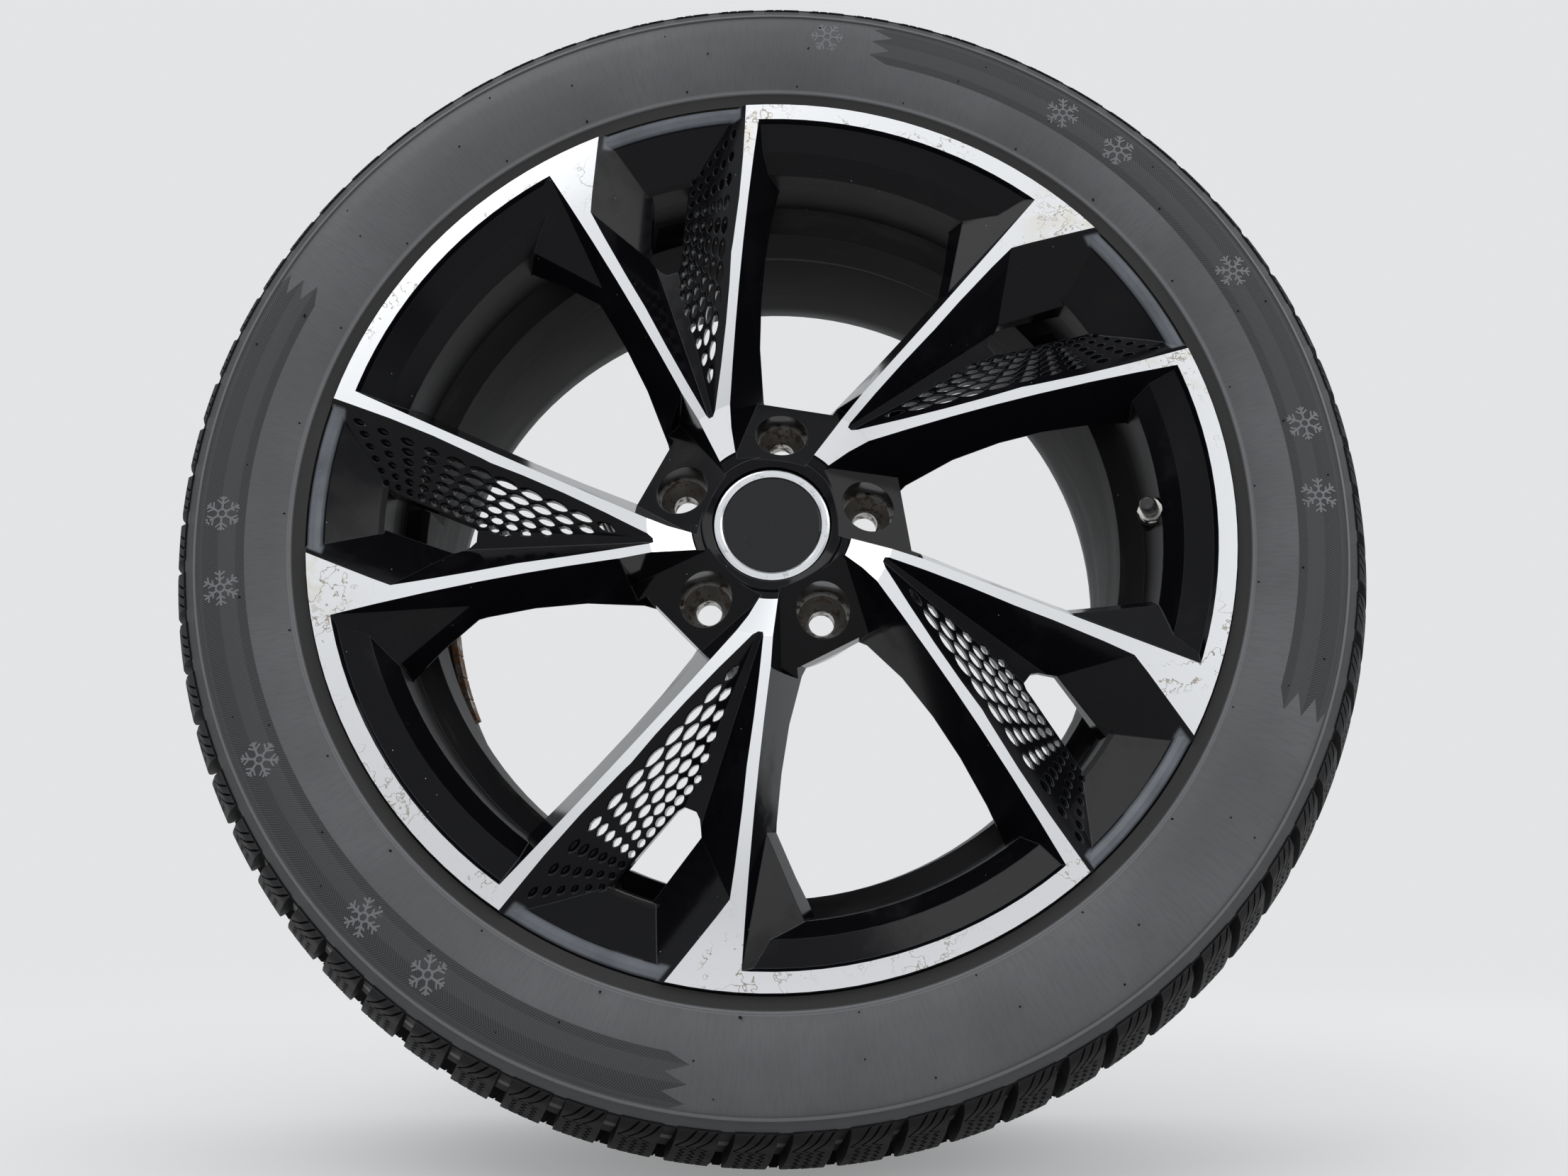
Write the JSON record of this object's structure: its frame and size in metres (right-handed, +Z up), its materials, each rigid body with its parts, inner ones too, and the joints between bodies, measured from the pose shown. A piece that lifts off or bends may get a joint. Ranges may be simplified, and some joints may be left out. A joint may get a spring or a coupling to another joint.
{
  "type": "wheel and tyre assembly",
  "caption": "Car wheel with V-shaped spokes whose pockets have a field of long perforations, fitted with a winter tyre, centre cap, clamped valve and stick-on balance weights.",
  "frame": {"origin": "centre of the wheel and tyre, on the axle halfway between the tyre's two sidewalls", "axes": "+Y along the axle toward the car, with the turned face looking toward -Y; +Z up; +X to the right of someone who faces the wheel"},
  "size_m": [0.6776, 0.243, 0.6776],
  "materials": {
    "tyre_rubber": "matt black rubber with a fine radial grain",
    "wheel_alloy": "gloss black lacquer with a diamond-turned bright face",
    "cap_plastic": "gloss black, scratched",
    "bright_trim": "bright, with scratches",
    "spring_steel": "plain wire",
    "nickel_brass": "nickel plated",
    "seal_rubber": "matt",
    "core_brass": "plain brass",
    "plated_steel": "plated",
    "black_plastic": "satin black",
    "weight_steel": "grey coating with rust",
    "tape_foam": "matt black foam tape"
  },
  "bodies": {
    "wheel": {"tyre": "tyre_rubber", "alloy_wheel": "wheel_alloy", "centre_cap": "cap_plastic", "cap_ring": "bright_trim", "cap_spring": "spring_steel", "valve_stem": "nickel_brass", "valve_grommet": "seal_rubber", "valve_washer": "plated_steel", "valve_nut": "plated_steel", "valve_core": "core_brass", "valve_core_seal": "seal_rubber", "valve_spring": "spring_steel", "balance_weights": "weight_steel", "weight_tape": "tape_foam"},
    "dust_cap": {"valve_cap": "black_plastic", "valve_cap_seal": "seal_rubber"},
    "pin": {"valve_pin": "core_brass", "valve_pin_seal": "seal_rubber"}
  },
  "joints": [
    {"name": "dust_cap_off", "type": "slide", "parent": "wheel", "child": "dust_cap", "axis": [-0.4065, -0.9135, -0.0135], "range_m": [0, 0.012]},
    {"name": "valve_pin_press", "type": "slide", "parent": "wheel", "child": "pin", "axis": [0.4065, 0.9135, 0.0135], "range_m": [0, 0.0012], "stiffness_N_per_m": 300, "springref_m": -0.003, "deforming": ["valve_spring"]}
  ]
}
